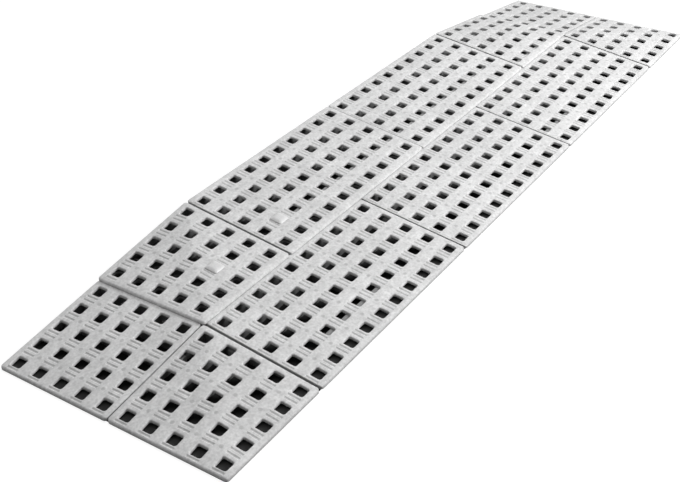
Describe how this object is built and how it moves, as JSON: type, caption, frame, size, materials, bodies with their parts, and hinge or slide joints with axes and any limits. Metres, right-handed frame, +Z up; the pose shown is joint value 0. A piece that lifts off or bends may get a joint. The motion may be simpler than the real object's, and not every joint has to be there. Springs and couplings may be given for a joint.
{
  "type": "threshold ramp",
  "caption": "Low doorway ramp of stacked perforated plastic wedge modules. It slopes to the floor at the front and both ends, and its straight high edge stands against a threshold.",
  "frame": {"origin": "on the floor, under the middle of the ramp's outline", "axes": "+X along the threshold, +Y towards the threshold and the high edge, +Z up"},
  "size_m": [1.0006, 0.2486, 0.0399],
  "materials": {
    "module_plastic": "light grey moulded plastic, matte with a fine grain",
    "base_plastic": "black recycled moulded plastic, matte",
    "lock_plastic": "pale grey moulded plastic, satin",
    "joiner_plastic": "grey moulded plastic, matte",
    "grip_rubber": "grey soft rubber"
  },
  "bodies": {
    "lower_layer": {"front_ramp_left": "module_plastic", "front_ramp_middle": "module_plastic", "front_ramp_right": "module_plastic", "base_block_left": "base_plastic", "base_block_middle": "base_plastic", "base_block_right": "base_plastic", "lower_corner_left": "module_plastic", "lower_corner_right": "module_plastic", "side_ramp_left": "module_plastic", "side_ramp_right": "module_plastic", "front_seam_staples": "joiner_plastic", "left_end_staples": "joiner_plastic", "right_end_staples": "joiner_plastic", "row_staples": "joiner_plastic", "floor_grips_left": "grip_rubber", "floor_grips_right": "grip_rubber"},
    "upper_corner_left_body": {"upper_corner_left": "module_plastic"},
    "upper_ramp_left_body": {"upper_ramp_left": "module_plastic", "layer_keys_left": "joiner_plastic"},
    "upper_ramp_right_body": {"upper_ramp_right": "module_plastic", "layer_keys_right": "joiner_plastic"},
    "upper_corner_right_body": {"upper_corner_right": "module_plastic", "corner_keys_right": "joiner_plastic"},
    "corner_lock_body": {"lock_plug_corner": "lock_plastic"},
    "ramp_lock_body": {"lock_plug_ramp": "lock_plastic"}
  },
  "joints": [
    {"name": "upper_corner_left_lift", "type": "slide", "parent": "lower_layer", "child": "upper_corner_left_body", "axis": [0, 0, 1], "range_m": [0, 0.05]},
    {"name": "upper_ramp_left_lift", "type": "slide", "parent": "lower_layer", "child": "upper_ramp_left_body", "axis": [0, 0, 1], "range_m": [0, 0.05]},
    {"name": "upper_ramp_right_lift", "type": "slide", "parent": "lower_layer", "child": "upper_ramp_right_body", "axis": [0, 0, 1], "range_m": [0, 0.05]},
    {"name": "upper_corner_right_lift", "type": "slide", "parent": "lower_layer", "child": "upper_corner_right_body", "axis": [0, 0, 1], "range_m": [0, 0.05]},
    {"name": "corner_lock_pull", "type": "slide", "parent": "upper_corner_left_body", "child": "corner_lock_body", "axis": [0, 0, 1], "range_m": [0, 0.045]},
    {"name": "ramp_lock_pull", "type": "slide", "parent": "upper_ramp_left_body", "child": "ramp_lock_body", "axis": [0, 0, 1], "range_m": [0, 0.045]}
  ]
}
